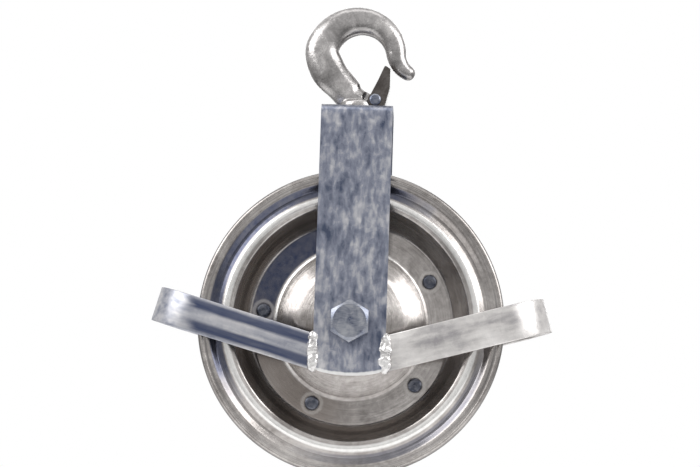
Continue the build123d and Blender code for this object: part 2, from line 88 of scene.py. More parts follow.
def tone(red: int, green: int, blue: int) -> Tone:
    """Return a linear colour for a display colour.

    Args:
        red: The display colour's red, from 0 to 255.
        green: Its green.
        blue: Its blue.

    Returns:
        The linear colour.
    """
    def linear(step: int) -> float:
        """Return one linear channel."""
        share = step / 255
        return share / 12.92 if share <= 0.04045 else ((share + 0.055) / 1.055) ** 2.4
    return linear(red), linear(green), linear(blue)


def polar(radius: float, angle: float) -> Pair:
    """Return the point at a radius and an angle in radians."""
    return radius * cos(angle), radius * sin(angle)


def spread(start: float, end: float, count: int) -> list[float]:
    """Return evenly spaced numbers from start to end, with both ends."""
    return [start + (end - start) * index / count for index in range(count + 1)]


def part_way(first: Pair, last: Pair, share: float) -> Pair:
    """Return the pair that lies a share of the way from the first to the last."""
    return tuple(a + (b - a) * share for a, b in zip(first, last))


def turns(count: int) -> list[float]:
    """Return evenly spaced angles of one full turn."""
    return spread(0.0, 2 * pi, count)[:-1]


def combiner(operation: str, swap: bool = False) -> "Callable[[Sock, Operand], Sock]":
    """Return an operator's method.

    Args:
        operation: ADD, SUBTRACT, MULTIPLY or DIVIDE.
        swap: Whether the other value comes first.

    Returns:
        A method that combines a socket with another value.
    """
    def combined(sock: "Sock", other: Operand) -> "Sock":
        """Combine a socket with another value.

        Args:
            sock: The socket whose operator this is.
            other: A number, a vector or a socket.

        Returns:
            A number or a vector, as the socket is.
        """
        is_vector = sock.socket.type == "VECTOR"
        if is_vector and isinstance(other, (int, float)):
            other = (other, other, other)
        first, second = (other, sock) if swap else (sock, other)
        kind = "ShaderNodeVectorMath" if is_vector else "ShaderNodeMath"
        return sock.graph.node(kind, {"operation": operation}, {0: first, 1: second})
    return combined


class Sock:
    """A shader socket: numbers and vectors can be added, multiplied and so on."""

    __add__ = __radd__ = combiner("ADD")
    __mul__ = __rmul__ = combiner("MULTIPLY")
    __sub__ = combiner("SUBTRACT")
    __rsub__ = combiner("SUBTRACT", swap=True)
    __truediv__ = combiner("DIVIDE")

    def __init__(self, graph: "Graph", socket: NodeSocket) -> None:
        """Keep the socket and the graph that its nodes go into."""
        self.graph = graph
        self.socket = socket

    def length(self) -> "Sock":
        """Return this vector's length."""
        return self.graph.node("ShaderNodeVectorMath", {"operation": "LENGTH"}, {0: self}, "Value")

    def along(self, way: Point) -> "Sock":
        """Return how far this vector reaches along a unit vector."""
        settings = {"operation": "DOT_PRODUCT"}
        return self.graph.node("ShaderNodeVectorMath", settings, {0: self, 1: way}, "Value")

    def magnitude(self) -> "Sock":
        """Return this number without its sign."""
        return self.graph.node("ShaderNodeMath", {"operation": "ABSOLUTE"}, {0: self})

    def swing(self, reach: float) -> "Sock":
        """Return this noise of 0 to 1 centred on 0 and scaled to a reach."""
        return (self - 0.5) * reach

    def between(self, low: float, high: float) -> "Sock":
        """Return 0 below low and 1 above high, with a smooth step from one to the other."""
        settings = {"interpolation_type": "SMOOTHSTEP"}
        return self.graph.node("ShaderNodeMapRange", settings, {0: self, 1: low, 2: high})

    def band(self, low: float, high: float, soft: float) -> "Sock":
        """Return 1 from low to high and 0 outside, with soft borders."""
        return self.between(low - soft, low + soft) * (1 - self.between(high - soft, high + soft))


class Graph:
    """The nodes of one material or world."""

    def __init__(self, owner: Material | World) -> None:
        """Start an empty node tree.

        Args:
            owner: The material or world that gets it.
        """
        owner.use_nodes = True
        self.tree = owner.node_tree
        self.tree.nodes.clear()

    def node(self, kind: str, settings: dict[str, Any] | None = None,
             inputs: dict[int | str, Any] | None = None, output: int | str = 0) -> Sock | None:
        """Add a node, set it up and feed its sockets.

        Args:
            kind: The node's type.
            settings: Properties that are set first.
            inputs: Values or sockets, by the input's index or name.
            output: The index or name of the output that is returned.

        Returns:
            The chosen output, or None where the node has none.
        """
        made = self.tree.nodes.new(kind)
        for name, value in (settings or {}).items():
            setattr(made, name, value)
        for key, value in (inputs or {}).items():
            if isinstance(value, Sock):
                self.tree.links.new(value.socket, made.inputs[key])
            else:
                made.inputs[key].default_value = value
        return Sock(self, made.outputs[output]) if len(made.outputs) else None

    def ramp(self, factor: Sock, *stops: tuple[float, Tone]) -> Sock:
        """Return a colour that runs through the stops as the factor rises.

        Args:
            factor: A number from 0 to 1.
            stops: Places from 0 to 1, each with its colour.

        Returns:
            The colour.
        """
        made = self.node("ShaderNodeValToRGB", None, {0: factor})
        elements = made.socket.node.color_ramp.elements
        while len(elements) < len(stops):
            elements.new(1.0)
        for element, (place, colour) in zip(elements, stops):
            element.position = place
            element.color = (*colour, 1.0)
        return made

    def mix(self, factor: Sock, below: Sock, above: Tone) -> Sock:
        """Return a colour with another over it, as strong as the factor says."""
        inputs = {0: factor, 6: below, 7: (*above, 1.0)}
        return self.node("ShaderNodeMix", {"data_type": "RGBA"}, inputs, 2)

    def place(self) -> Sock:
        """Return the point on the piece, in millimetres from the part's origin."""
        return self.node("ShaderNodeTexCoord", output="Object") / MM

    def clouds(self, vector: Sock, size: float, detail: float = 3.0, warp: float = 0.0) -> Sock:
        """Return soft noise from 0 to 1.

        Args:
            vector: Where the noise is read.
            size: About how wide its patches are.
            detail: How many finer layers it has.
            warp: How much its patches are twisted.

        Returns:
            The noise.
        """
        return self.node("ShaderNodeTexNoise", None, {
            "Vector": vector, "Scale": 1 / size, "Detail": detail, "Roughness": NOISE_ROUGHNESS,
            "Distortion": warp})

    def cells(self, vector: Sock, size: float) -> Sock:
        """Return a random grey for each crystal.

        Args:
            vector: Where the pattern is read.
            size: About how wide a crystal is.

        Returns:
            The grey.
        """
        inputs = {"Vector": vector, "Scale": 1 / size}
        colour = self.node("ShaderNodeTexVoronoi", None, inputs, "Color")
        return self.node("ShaderNodeSeparateColor", None, {0: colour})

    def split(self, vector: Sock) -> tuple[Sock, Sock, Sock]:
        """Return the three parts of a vector."""
        made = self.node("ShaderNodeSeparateXYZ", None, {0: vector})
        return tuple(Sock(self, output) for output in made.socket.node.outputs)

    def join(self, x: Sock | float, y: Sock | float, z: Sock | float) -> Sock:
        """Return a vector of three numbers."""
        return self.node("ShaderNodeCombineXYZ", None, {0: x, 1: y, 2: z})

    def surface(self, **inputs: Any) -> None:
        """End the graph in a Principled surface.

        Args:
            **inputs: Its inputs, by name with underscores for spaces.
        """
        names = {key.replace("_", " ").title(): value for key, value in inputs.items()}
        shader = self.node("ShaderNodeBsdfPrincipled", None, names)
        self.node("ShaderNodeOutputMaterial", None, {0: shader})

    def metal(self, colour: Sock, metallic: float, roughness: Sock, height: Sock,
              depth: float) -> None:
        """End the graph in a metal surface.

        Args:
            colour: Its colour.
            metallic: How much of a metal it is, from 0 to 1.
            roughness: Its roughness.
            height: Its relief, from 0 to 1.
            depth: What that relief stands for, in millimetres.
        """
        relief = {"Strength": 1.0, "Distance": depth * MM, "Height": height}
        self.surface(base_color=colour, metallic=metallic, roughness=roughness,
                     normal=self.node("ShaderNodeBump", None, relief))


@dataclass(frozen=True)
class Finish:
    """A finish of the pulley: a name and how it is made."""

    name: str

    def paint(self, graph: Graph) -> None:
        """Add the finish's nodes."""
        raise NotImplementedError

    def material(self) -> Material:
        """Make the finish's material, once.

        Returns:
            The material.
        """
        made = bpy.data.materials.get(self.name)
        if made is None:
            made = bpy.data.materials.new(self.name)
            self.paint(Graph(made))
        return made


@dataclass(frozen=True)
class ThreeTones(Finish):
    """A finish whose colour runs through three tones."""

    dark: Tone
    middle: Tone
    pale: Tone

    def shade(self, graph: Graph, level: Sock, low: float, high: float) -> Sock:
        """Return the colour of a level: dark up to low, pale from high."""
        return graph.ramp(level, (low, self.dark), (0.5, self.middle), (high, self.pale))


@dataclass(frozen=True)
class GalvanisedBar(ThreeTones):
    """Hot-dip zinc on rolled bar: patches, crystals, streaks along the bar, bands of painted blue
    reflection, and a painted highlight along an edge.
    """

    way: Point = (0.0, 0.0, 1.0)
    stretch: float = 0.6
    patch: float = 7.0
    streak: float = 3.5
    streak_share: float = 0.45
    crystal: float = 3.2
    grain: float = 0.7
    dent: float = 6.0
    depth: float = 0.16
    gloss: float = 0.3
    # Painted blue reflection: its tone, the way across the bar, its middle, its bands and its
    # reach.
    reflection_tone: Tone | None = None
    reflection_way: Point = (0.0, 0.0, 1.0)
    reflection_middle: float = 0.0
    reflection_bands: Pair = (3.9, 9.9)
    reflection_reach: float = 104.0
    # Middle and radius of the arc along whose edge a highlight is painted.
    highlight_arc: Pair | None = None

    def paint(self, graph: Graph) -> None:
        """Add patches, streaks, crystals, grain, small dents, the painted blue reflection and the
        painted highlight along the foot's edge.

        Args:
            graph: The material's graph.
        """
        place = graph.place()
        back = place.along(self.way) * self.stretch
        drawn = place - graph.join(*(back * share for share in self.way))
        broad = graph.clouds(place, self.patch * 4)
        patches = graph.clouds(drawn, self.patch, 5.0, 0.2)
        streaks = graph.clouds(drawn, self.streak)
        grain = graph.clouds(place, self.grain, 2.0)
        mottle = patches * (1 - self.streak_share) + streaks * self.streak_share
        level = broad * 0.4 + mottle * 0.6
        level = level + graph.cells(place, self.crystal).swing(0.04) + grain.swing(0.07)
        colour = self.shade(graph, level, 0.37, 0.64)
        # Painted blue reflection in bands along the bar.
        if self.reflection_tone is not None:
            colour = graph.mix(self._painted_reflection(place, patches, streaks), colour, self.reflection_tone)
        # Painted highlight along the edge of the leg's foot.
        if self.highlight_arc is not None:
            colour = graph.mix(self._painted_edge_highlight(place, streaks), colour, PAINTED_HIGHLIGHT)
        roughness = grain * 0.14 + patches * 0.24 + (self.gloss - 0.14)
        height = graph.clouds(place, self.dent, 2.0) * 0.75 + grain * 0.25
        graph.metal(colour, 0.8, roughness, height, self.depth)

    def _painted_reflection(self, place: Sock, patches: Sock, streaks: Sock) -> Sock:
        """Return how strong the painted blue reflection is: a band near each edge, up to its
        reach.

        Args:
            place: The point on the piece.
            patches: Noise that frays the band.
            streaks: Noise that makes it uneven.

        Returns:
            A mask from 0 to about 1.
        """
        off = (place.along(self.reflection_way) - self.reflection_middle).magnitude() + patches.swing(4.0)
        out = place.graph.split(place)[0].magnitude() + patches.swing(20.0)
        near = 1 - out.between(self.reflection_reach - 5.0, self.reflection_reach + 5.0)
        return off.band(*self.reflection_bands, 1.3) * near * (0.6 + streaks * 0.6)

    def _painted_edge_highlight(self, place: Sock, streaks: Sock) -> Sock:
        """Return how strong the painted highlight is: bright along the edge of the arc at the
        bar's lower end.

        Args:
            place: The point on the piece.
            streaks: Noise that frays the border.

        Returns:
            A mask from 0 to 1.
        """
        middle, radius = self.highlight_arc
        low = middle - radius
        away = ((place - (0.0, 0.0, middle)) * (1.0, 0.0, 1.0)).length() + streaks.swing(1.2)
        below = 1 - place.graph.split(place)[2].between(low, low + 12.0)
        return away.between(radius - 1.5, radius - 0.6) * below * 0.85


@dataclass(frozen=True)
class PaintedLightRing:
    """A ring of painted light and shade round the axle: another tone, strongest towards one angle.
    """

    colour: Tone
    inner: float
    outer: float
    strength: float
    angle: float = 0.0
    weak: float = -3.0
    full: float = -2.0
    soft: float = 0.6

    def mask(self, radius: Sock, place: Sock, uneven: Sock) -> Sock:
        """Return how strong the ring's painted tone is at a place.

        Args:
            radius: Distance from the axle, in millimetres.
            place: The place seen from the axle, as a vector.
            uneven: Noise from 0 to 1 that frays the ring's ends.

        Returns:
            A mask from 0 to about 1.
        """
        x, z = polar(1.0, radians(self.angle))
        facing = place.along((x, 0.0, z)) / radius + uneven.swing(0.6)
        ring = radius.band(self.inner, self.outer, self.soft)
        return ring * facing.between(self.weak, self.full) * self.strength


@dataclass(frozen=True)
class PressedSheet(ThreeTones):
    """Zinc-plated pressed sheet: drawing marks round the axle, rings of painted reflection, shade
    and highlight, and a painted highlight on the rivet seats.
    """

    ring: Tone
    axle_z: float
    painted_rings: tuple[PaintedLightRing, ...]
    rivets: tuple[Pair, ...]
    # Inner and outer radius of the painted highlight round each rivet.
    seat_highlight: Pair = (5.2, 7.4)
    rivet_edge: Pair = (4.2, 5.0)
    mark: float = 0.9
    mark_turn: float = 2.2
    cloud: float = 26.0
    speck: float = 3.0
    grain: float = 0.6
    depth: float = 0.07

    def paint(self, graph: Graph) -> None:
        """Add rings about the axle, clouds, the rings of painted light and shade, the painted
        highlight on the rivet seats and fine grain.

        Args:
            graph: The material's graph.
        """
        place = graph.place() - (0.0, 0.0, self.axle_z)
        x, _, z = graph.split(place)
        flat = graph.join(x, 0.0, z)
        radius = flat.length()
        turn = graph.node("ShaderNodeMath", {"operation": "ARCTAN2"}, {0: z, 1: x})
        rings = graph.clouds(graph.join(radius, turn * self.mark_turn, 0.0), self.mark)
        clouds = graph.clouds(place, self.cloud, 4.0, 0.8)
        specks = graph.clouds(place, self.speck, 4.0)
        grain = graph.clouds(place, self.grain, 2.0)
        colour = self.shade(graph, clouds * 0.5 + rings * 0.25 + specks * 0.25, 0.32, 0.68)
        # Painted reflection, painted shade and painted highlights, laid on ring by ring.
        for painted_ring in self.painted_rings:
            mask = painted_ring.mask(radius, place, clouds) * (0.7 + specks * 0.5)
            colour = graph.mix(mask, colour, painted_ring.colour)
        for rivet_x, rivet_z in self.rivets:
            off = (flat - (rivet_x, 0.0, rivet_z)).length() + specks.swing(1.6)
            # A painted highlight on each rivet's seat, then a dark ring at the rivet's edge.
            colour = graph.mix(off.band(*self.seat_highlight, 0.7) * 0.35, colour, self.pale)
            colour = graph.mix(off.band(*self.rivet_edge, 0.4) * 0.8, colour, self.ring)
        roughness = clouds * 0.14 + rings * 0.1 + grain * 0.04 + 0.07
        height = rings * 0.5 + specks * 0.3 + grain * 0.2
        graph.metal(colour, 0.9, roughness, height, self.depth)


@dataclass(frozen=True)
class ForgedZinc(ThreeTones):
    """Zinc-plated forging: smooth, with dull patches and shallow hammer marks."""

    mark: float = 7.0
    scale: float = 1.1
    depth: float = 0.35
    gloss: float = 0.24

    def paint(self, graph: Graph) -> None:
        """Add dull patches, hammer marks and scale.

        Args:
            graph: The material's graph.
        """
        place = graph.place()
        marks = graph.clouds(place, self.mark, 2.0, 0.4)
        dull = graph.clouds(place, self.mark * 1.7, 4.0, 0.8)
        scale = graph.clouds(place, self.scale)
        colour = self.shade(graph, dull * 0.55 + marks * 0.2 + scale * 0.25, 0.28, 0.72)
        roughness = dull * 0.26 + scale * 0.1 + self.gloss - 0.1
        height = marks * 0.8 + scale * 0.2
        graph.metal(colour, 0.88, roughness, height, self.depth)


@dataclass(frozen=True)
class PlatedFastener(Finish):
    """Zinc-plated turned steel with a cool tint and small scratches."""

    dark: Tone
    pale: Tone
    gloss: float = 0.26
    patch: float = 8.0
    scratch: float = 0.8
    depth: float = 0.06

    def paint(self, graph: Graph) -> None:
        """Add a mottled plating and scratches.

        Args:
            graph: The material's graph.
        """
        place = graph.place()
        mottle = graph.clouds(place, self.patch, 4.0, 0.5)
        scratches = graph.clouds(place * (0.25, 1.0, 1.6), self.scratch, 2.0)
        level = mottle * 0.75 + scratches * 0.25
        colour = graph.ramp(level, (0.36, self.dark), (0.64, self.pale))
        roughness = mottle * 0.25 + scratches * 0.1 + self.gloss - 0.12
        height = scratches * 0.5 + mottle * 0.5
        graph.metal(colour, 0.9, roughness, height, self.depth)


# Places that the finishes and the pieces share.
HUB_LOW, HUB_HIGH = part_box("hub_tube")
AXLE_Z = (Vector(HUB_LOW) + Vector(HUB_HIGH)).z / 2
YOKE_LOW, YOKE_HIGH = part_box("yoke")
FOOT_RISE = 3.0 * MM
FOOT_ARC_R = (YOKE_HIGH[0] ** 2 + FOOT_RISE ** 2) / (2 * FOOT_RISE)
FOOT_ARC_Z = YOKE_LOW[2] + FOOT_ARC_R
RISE_COS, RISE_SIN = polar(1.0, radians(15.6))
GUARD_ROOT_DROP = 20.0 * MM
GUARD_ROOT_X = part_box("rope_guard_right")[0][0]
RIVET_CIRCLE_R = 58.25
RIVETS = tuple(polar(RIVET_CIRCLE_R, radians(29.5 + 72 * turn)) for turn in range(5))

# Tones of painted light on the wheel: blue for painted reflection, brown and grey for painted
# shade, and a bright one for painted highlights.
PAINTED_REFLECTION_BLUE = tone(58, 65, 88)
PAINTED_SHADE_BROWN = tone(124, 114, 107)
PAINTED_HIGHLIGHT = tone(246, 245, 243)
PAINTED_SHADE_GREY = tone(100, 98, 98)
# Rings of painted light: painted blue reflection on the valley and the web, painted shade on the
# web, the groove's wall and the dome below the left guard, painted highlights on the crest and the
# web's edge, and painted shade lines in the rim's crease and at its outer edge.
WHEEL_PAINTED_LIGHT = (
    PaintedLightRing(PAINTED_REFLECTION_BLUE, 85.0, 92.8, 0.9, 135.0, 0.0, 0.5),
    PaintedLightRing(PAINTED_REFLECTION_BLUE, 86.0, 92.0, 0.6, 305.0, 0.5, 0.95),
    PaintedLightRing(PAINTED_REFLECTION_BLUE, 51.5, 66.0, 0.95, 145.0, 0.45, 0.75),
    PaintedLightRing(PAINTED_SHADE_BROWN, 51.5, 66.5, 0.7, 222.0, 0.5, 0.9),
    PaintedLightRing(PAINTED_SHADE_BROWN, 68.0, 77.0, 0.75, 225.0, -0.7, 0.1),
    PaintedLightRing(tone(58, 52, 48), 70.5, 73.0, 0.5, 225.0, -0.7, 0.1),
    PaintedLightRing(tone(96, 86, 78), 15.0, 47.0, 0.75, 203.0, 0.8, 0.97, 2.0),
    PaintedLightRing(PAINTED_HIGHLIGHT, 80.0, 84.0, 0.8),
    PaintedLightRing(PAINTED_HIGHLIGHT, 49.0, 50.6, 0.6, 135.0, -0.2, 0.5),
    PaintedLightRing(PAINTED_SHADE_GREY, 94.8, 96.0, 0.6),
    PaintedLightRing(PAINTED_SHADE_GREY, 98.9, 102.0, 0.7),
)


class Finishes(Enum):
    """Every finish of the pulley."""

    # The yoke gets a painted highlight along the edge of each leg's foot.
    YOKE = GalvanisedBar(
        "yoke zinc", tone(74, 82, 102), tone(133, 137, 151), tone(198, 197, 199),
        streak_share=0.4, highlight_arc=(FOOT_ARC_Z / MM, FOOT_ARC_R / MM))
    # The left guard carries bands of painted blue reflection.
    GUARD_LEFT = GalvanisedBar(
        "left guard zinc", tone(124, 128, 142), tone(170, 171, 178), tone(206, 204, 204),
        way=(-RISE_COS, 0.0, RISE_SIN), stretch=0.9, reflection_tone=tone(62, 71, 98),
        reflection_way=(RISE_SIN, 0.0, RISE_COS),
        reflection_middle=(-GUARD_ROOT_X / MM) * RISE_SIN + (AXLE_Z - GUARD_ROOT_DROP) / MM * RISE_COS)
    # The right guard is the same bar as the left, given paler tones as painted light.
    GUARD_RIGHT = GalvanisedBar(
        "right guard zinc", tone(160, 157, 159), tone(204, 201, 199), tone(230, 227, 225),
        way=(RISE_COS, 0.0, RISE_SIN), stretch=0.8, patch=8.0)
    WHEEL = PressedSheet(
        "pressed zinc sheet", tone(124, 119, 116), tone(170, 165, 162), tone(206, 202, 198),
        tone(84, 80, 80), AXLE_Z / MM, WHEEL_PAINTED_LIGHT, RIVETS)
    HOOK = ForgedZinc(
        "forged zinc", tone(120, 118, 117), tone(172, 169, 168), tone(218, 215, 213), gloss=0.17)
    WELD = ForgedZinc(
        "weld metal", tone(150, 148, 150), tone(214, 212, 211), tone(246, 245, 244),
        mark=3.5, depth=0.2, gloss=0.2)
    LATCH = ForgedZinc(
        "latch sheet", tone(58, 54, 52), tone(88, 83, 80), tone(124, 120, 118),
        mark=9.0, depth=0.2)
    SPRING = PlatedFastener("spring wire", tone(70, 70, 72), tone(120, 120, 122))
    FASTENER = PlatedFastener("fastener zinc", tone(92, 99, 118), tone(166, 168, 174))
    RIVET = PlatedFastener("rivet zinc", tone(60, 64, 76), tone(116, 118, 126), patch=4.0)
    BRONZE = PlatedFastener("bush bronze", tone(140, 104, 60), tone(186, 148, 96), gloss=0.36)


def dress(finish: Finishes, *nodes: str) -> None:
    """Give solids of the frame their finish.

    Args:
        finish: The finish.
        *nodes: The solids' names.
    """
    for node in nodes:
        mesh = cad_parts[node].data
        mesh.materials.clear()
        mesh.materials.append(finish.value.material())
        LOG.info("dressed %s as %s", node, finish.value.name)


def placed(name: str, data: bpy.types.ID) -> Object:
    """Add a new object to the scene.

    Args:
        name: Its name.
        data: Its mesh, light or camera.

    Returns:
        The object.
    """
    made = bpy.data.objects.new(name, data)
    bpy.context.scene.collection.objects.link(made)
    return made


def show_mesh(name: str, mesh: Mesh, finish: Finishes, body: str, crease: float) -> Object:
    """Make an object of a mesh and let it ride on a body.

    Args:
        name: The piece's name.
        mesh: Its mesh.
        finish: Its finish.
        body: The body that it moves with.
        crease: The angle in degrees above which an edge is shaded sharp.

    Returns:
        The new object.
    """
    mesh.materials.append(finish.value.material())
    mesh.polygons.foreach_set("use_smooth", [True] * len(mesh.polygons))
    mesh.set_sharp_from_angle(angle=radians(crease))
    piece = placed(name, mesh)
    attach(piece, body)
    LOG.info("built %s with %d faces on %s", name, len(mesh.polygons), body)
    return piece


def plain_mesh(name: str, points: Sequence[Point], faces: Sequence[Sequence[int]]) -> Mesh:
    """Make a mesh of points and faces.

    Args:
        name: Its name.
        points: Its points, in metres.
        faces: Its faces, as indices of points.

    Returns:
        The mesh.
    """
    mesh = bpy.data.meshes.new(name)
    mesh.from_pydata(points, [], faces)
    mesh.validate()
    return mesh


def mesh_of(work: BMesh, name: str) -> Mesh:
    """Turn closed work into a mesh with its faces outward.

    Args:
        work: The work, which is used up.
        name: The mesh's name.

    Returns:
        The mesh.
    """
    bmesh.ops.recalc_face_normals(work, faces=work.faces[:])
    mesh = bpy.data.meshes.new(name)
    work.to_mesh(mesh)
    work.free()
    return mesh


def applied(piece: Object) -> Mesh:
    """Apply a helper object's modifiers.

    Args:
        piece: The helper, which is removed.

    Returns:
        The mesh that results.
    """
    graph = bpy.context.evaluated_depsgraph_get()
    made = bpy.data.meshes.new_from_object(piece.evaluated_get(graph))
    mesh = piece.data
    bpy.data.objects.remove(piece)
    bpy.data.meshes.remove(mesh)
    made.materials.clear()
    return made


def tube_faces(rings: int, count: int, closed: bool = False) -> list[tuple[int, ...]]:
    """Return the faces between rings of points.

    Args:
        rings: How many rings there are.
        count: How many points each ring has.
        closed: Whether the last ring meets the first.

    Returns:
        The faces, as indices of points.
    """
    faces = []
    for ring in range(rings if closed else rings - 1):
        here, there = ring * count, (ring + 1) % rings * count
        for index in range(count):
            after = (index + 1) % count
            faces.append((here + index, here + after, there + after, there + index))
    return faces


def loft(work: BMesh, rings: Sequence[Sequence[Point]]) -> None:
    """Add a skin over rings of points, with a flat cap at each end.

    Args:
        work: The mesh that it is added to.
        rings: The rings, from end to end.
    """
    skin = [[work.verts.new(point) for point in ring] for ring in rings]
    for lower, upper in zip(skin, skin[1:]):
        for index, corner in enumerate(lower):
            after = (index + 1) % len(lower)
            work.faces.new((corner, lower[after], upper[after], upper[index]))
    work.faces.new(skin[0][::-1])
    work.faces.new(skin[-1])


def cut(work: BMesh, place: Point, way: Point, clear: bool = False) -> None:
    """Slice the work with a plane, and clear what lies beyond it where asked."""
    everything = work.verts[:] + work.edges[:] + work.faces[:]
    bmesh.ops.bisect_plane(work, geom=everything, plane_co=place, plane_no=way, clear_outer=clear)


def drilled(mesh: Mesh, place: Vector, radius: float, depth: float, turn: Matrix) -> Mesh:
    """Return a mesh with a round hole.

    Args:
        mesh: The closed mesh, which is used up.
        place: The middle of the hole.
        radius: The hole's radius.
        depth: The drill's length.
        turn: Turns the drill from Z to the hole's direction.

    Returns:
        The drilled mesh.
    """
    work = bmesh.new()
    bmesh.ops.create_cone(work, cap_ends=True, segments=64, radius1=radius, radius2=radius,
                          depth=depth, matrix=Matrix.Translation(place) @ turn)
    drill_mesh = mesh_of(work, "drill")
    drill = placed("drill", drill_mesh)
    body = placed("drilled", mesh)
    hole = body.modifiers.new("hole", "BOOLEAN")
    hole.operation = "DIFFERENCE"
    hole.solver = "EXACT"
    hole.object = drill
    made = applied(body)
    bpy.data.objects.remove(drill)
    bpy.data.meshes.remove(drill_mesh)
    return made


def rounded_path(corners: Sequence[Pair], radii: Sequence[float]) -> list[Pair]:
    """Return a polyline with its inner corners rounded.

    Args:
        corners: The corners, the first and last of which stay as they are.
        radii: A radius for each inner corner, or 0 for a sharp one.

    Returns:
        The points of the rounded line.
    """
    path = [corners[0]]
    for before, corner, after, radius in zip(corners, corners[1:], corners[2:], radii):
        at = Vector(corner)
        back = (Vector(before) - at).normalized()
        ahead = (Vector(after) - at).normalized()
        half = back.angle(ahead) / 2
        if radius == 0 or pi / 2 - half < STRAIGHT:
            path.append(corner)
            continue
        centre = at + (back + ahead).normalized() * radius / sin(half)
        arm = at + back * radius / tan(half) - centre
        sweep = pi - 2 * half
        side = 1 if back.x * ahead.y - back.y * ahead.x < 0 else -1
        count = max(2, ceil(sweep / ARC_STEP))
        for index in range(count + 1):
            over, up = polar(1.0, side * sweep * index / count)
            path.append((centre.x + arm.x * over - arm.y * up,
                         centre.y + arm.x * up + arm.y * over))
    path.append(corners[-1])
    return path


def offset_path(path: Sequence[Pair], by: float) -> list[Pair]:
    """Move a polyline to its right, point by point.

    Args:
        path: The polyline.
        by: How far it is moved.

    Returns:
        The moved polyline.
    """
    moved = []
    for index, point in enumerate(path):
        before = Vector(path[max(index - 1, 0)])
        after = Vector(path[min(index + 1, len(path) - 1)])
        way = (after - before).normalized()
        moved.append((point[0] + way.y * by, point[1] - way.x * by))
    return moved


@dataclass
class FlatBar:
    """A flat bar with rounded edges, cut to a convex outline and then folded."""

    outline: list[Pair]
    thickness: float
    edge: float
    folds: list[float]
    levels: int = 4

    def _ring(self, inset: float) -> list[Pair]:
        """Move the outline inwards.

        Args:
            inset: How far it is moved.

        Returns:
            The smaller outline.
        """
        count = len(self.outline)
        ring = []
        for index in range(count):
            here = Vector(self.outline[index])
            before = (here - Vector(self.outline[index - 1])).normalized()
            after = (Vector(self.outline[(index + 1) % count]) - here).normalized()
            inward = Vector((-(before.y + after.y), before.x + after.x)).normalized()
            reach = inset / max(SHARPEST, inward.dot(Vector((-before.y, before.x))))
            ring.append((here.x + inward.x * reach, here.y + inward.y * reach))
        return ring

    def mesh(self, name: str, bend: Callable[[float, float, float], Point]) -> Mesh:
        """Build the bar flat, slice it where it folds, and fold it.

        Args:
            name: The mesh's name.
            bend: Gives a folded point for a flat one: along the bar, across it, and out of it.

        Returns:
            The folded mesh.
        """
        rings = []
        for side in (-1, 1):
            for level in range(self.levels + 1):
                turn = pi / 2 * (1 - level / self.levels if side < 0 else level / self.levels)
                height = side * (self.thickness / 2 - self.edge * (1 - sin(turn)))
                rings.append([(u, v, height) for u, v in self._ring(self.edge * (1 - cos(turn)))])
        work = bmesh.new()
        loft(work, rings)
        for place in self.folds:
            cut(work, (place, 0, 0), (1, 0, 0))
        for vertex in work.verts:
            vertex.co = Vector(bend(*vertex.co))
        return mesh_of(work, name)


